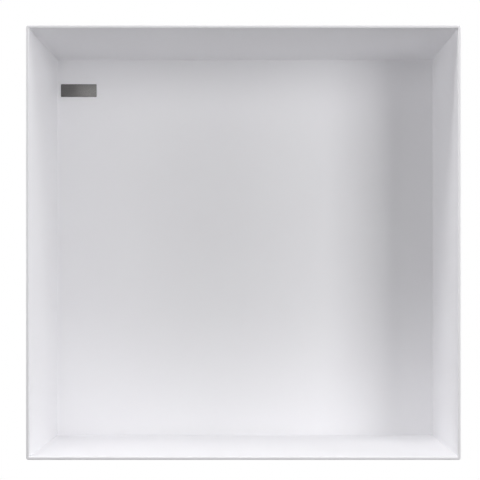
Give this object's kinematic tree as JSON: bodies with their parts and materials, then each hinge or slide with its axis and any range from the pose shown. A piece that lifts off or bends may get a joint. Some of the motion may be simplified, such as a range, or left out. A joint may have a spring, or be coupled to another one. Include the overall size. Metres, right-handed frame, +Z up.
{
  "type": "surface-mounted niche",
  "caption": "Square open-fronted box of folded, coated sheet steel with a small blank plate inside; fixed by its flat back to a wall to hold bottles and soap in a shower.",
  "frame": {"origin": "centre of the flat back face, on the wall's surface", "axes": "as seen from the front, +X right, +Z up, +Y into the wall, so the open front faces -Y"},
  "size_m": [0.3, 0.1, 0.3],
  "materials": {
    "white_coating": "matt white powder coating on sheet steel",
    "plate_metal": "dark brushed metal"
  },
  "bodies": {
    "root": {"niche_box": "white_coating", "blank_plate": "plate_metal"}
  },
  "joints": []
}
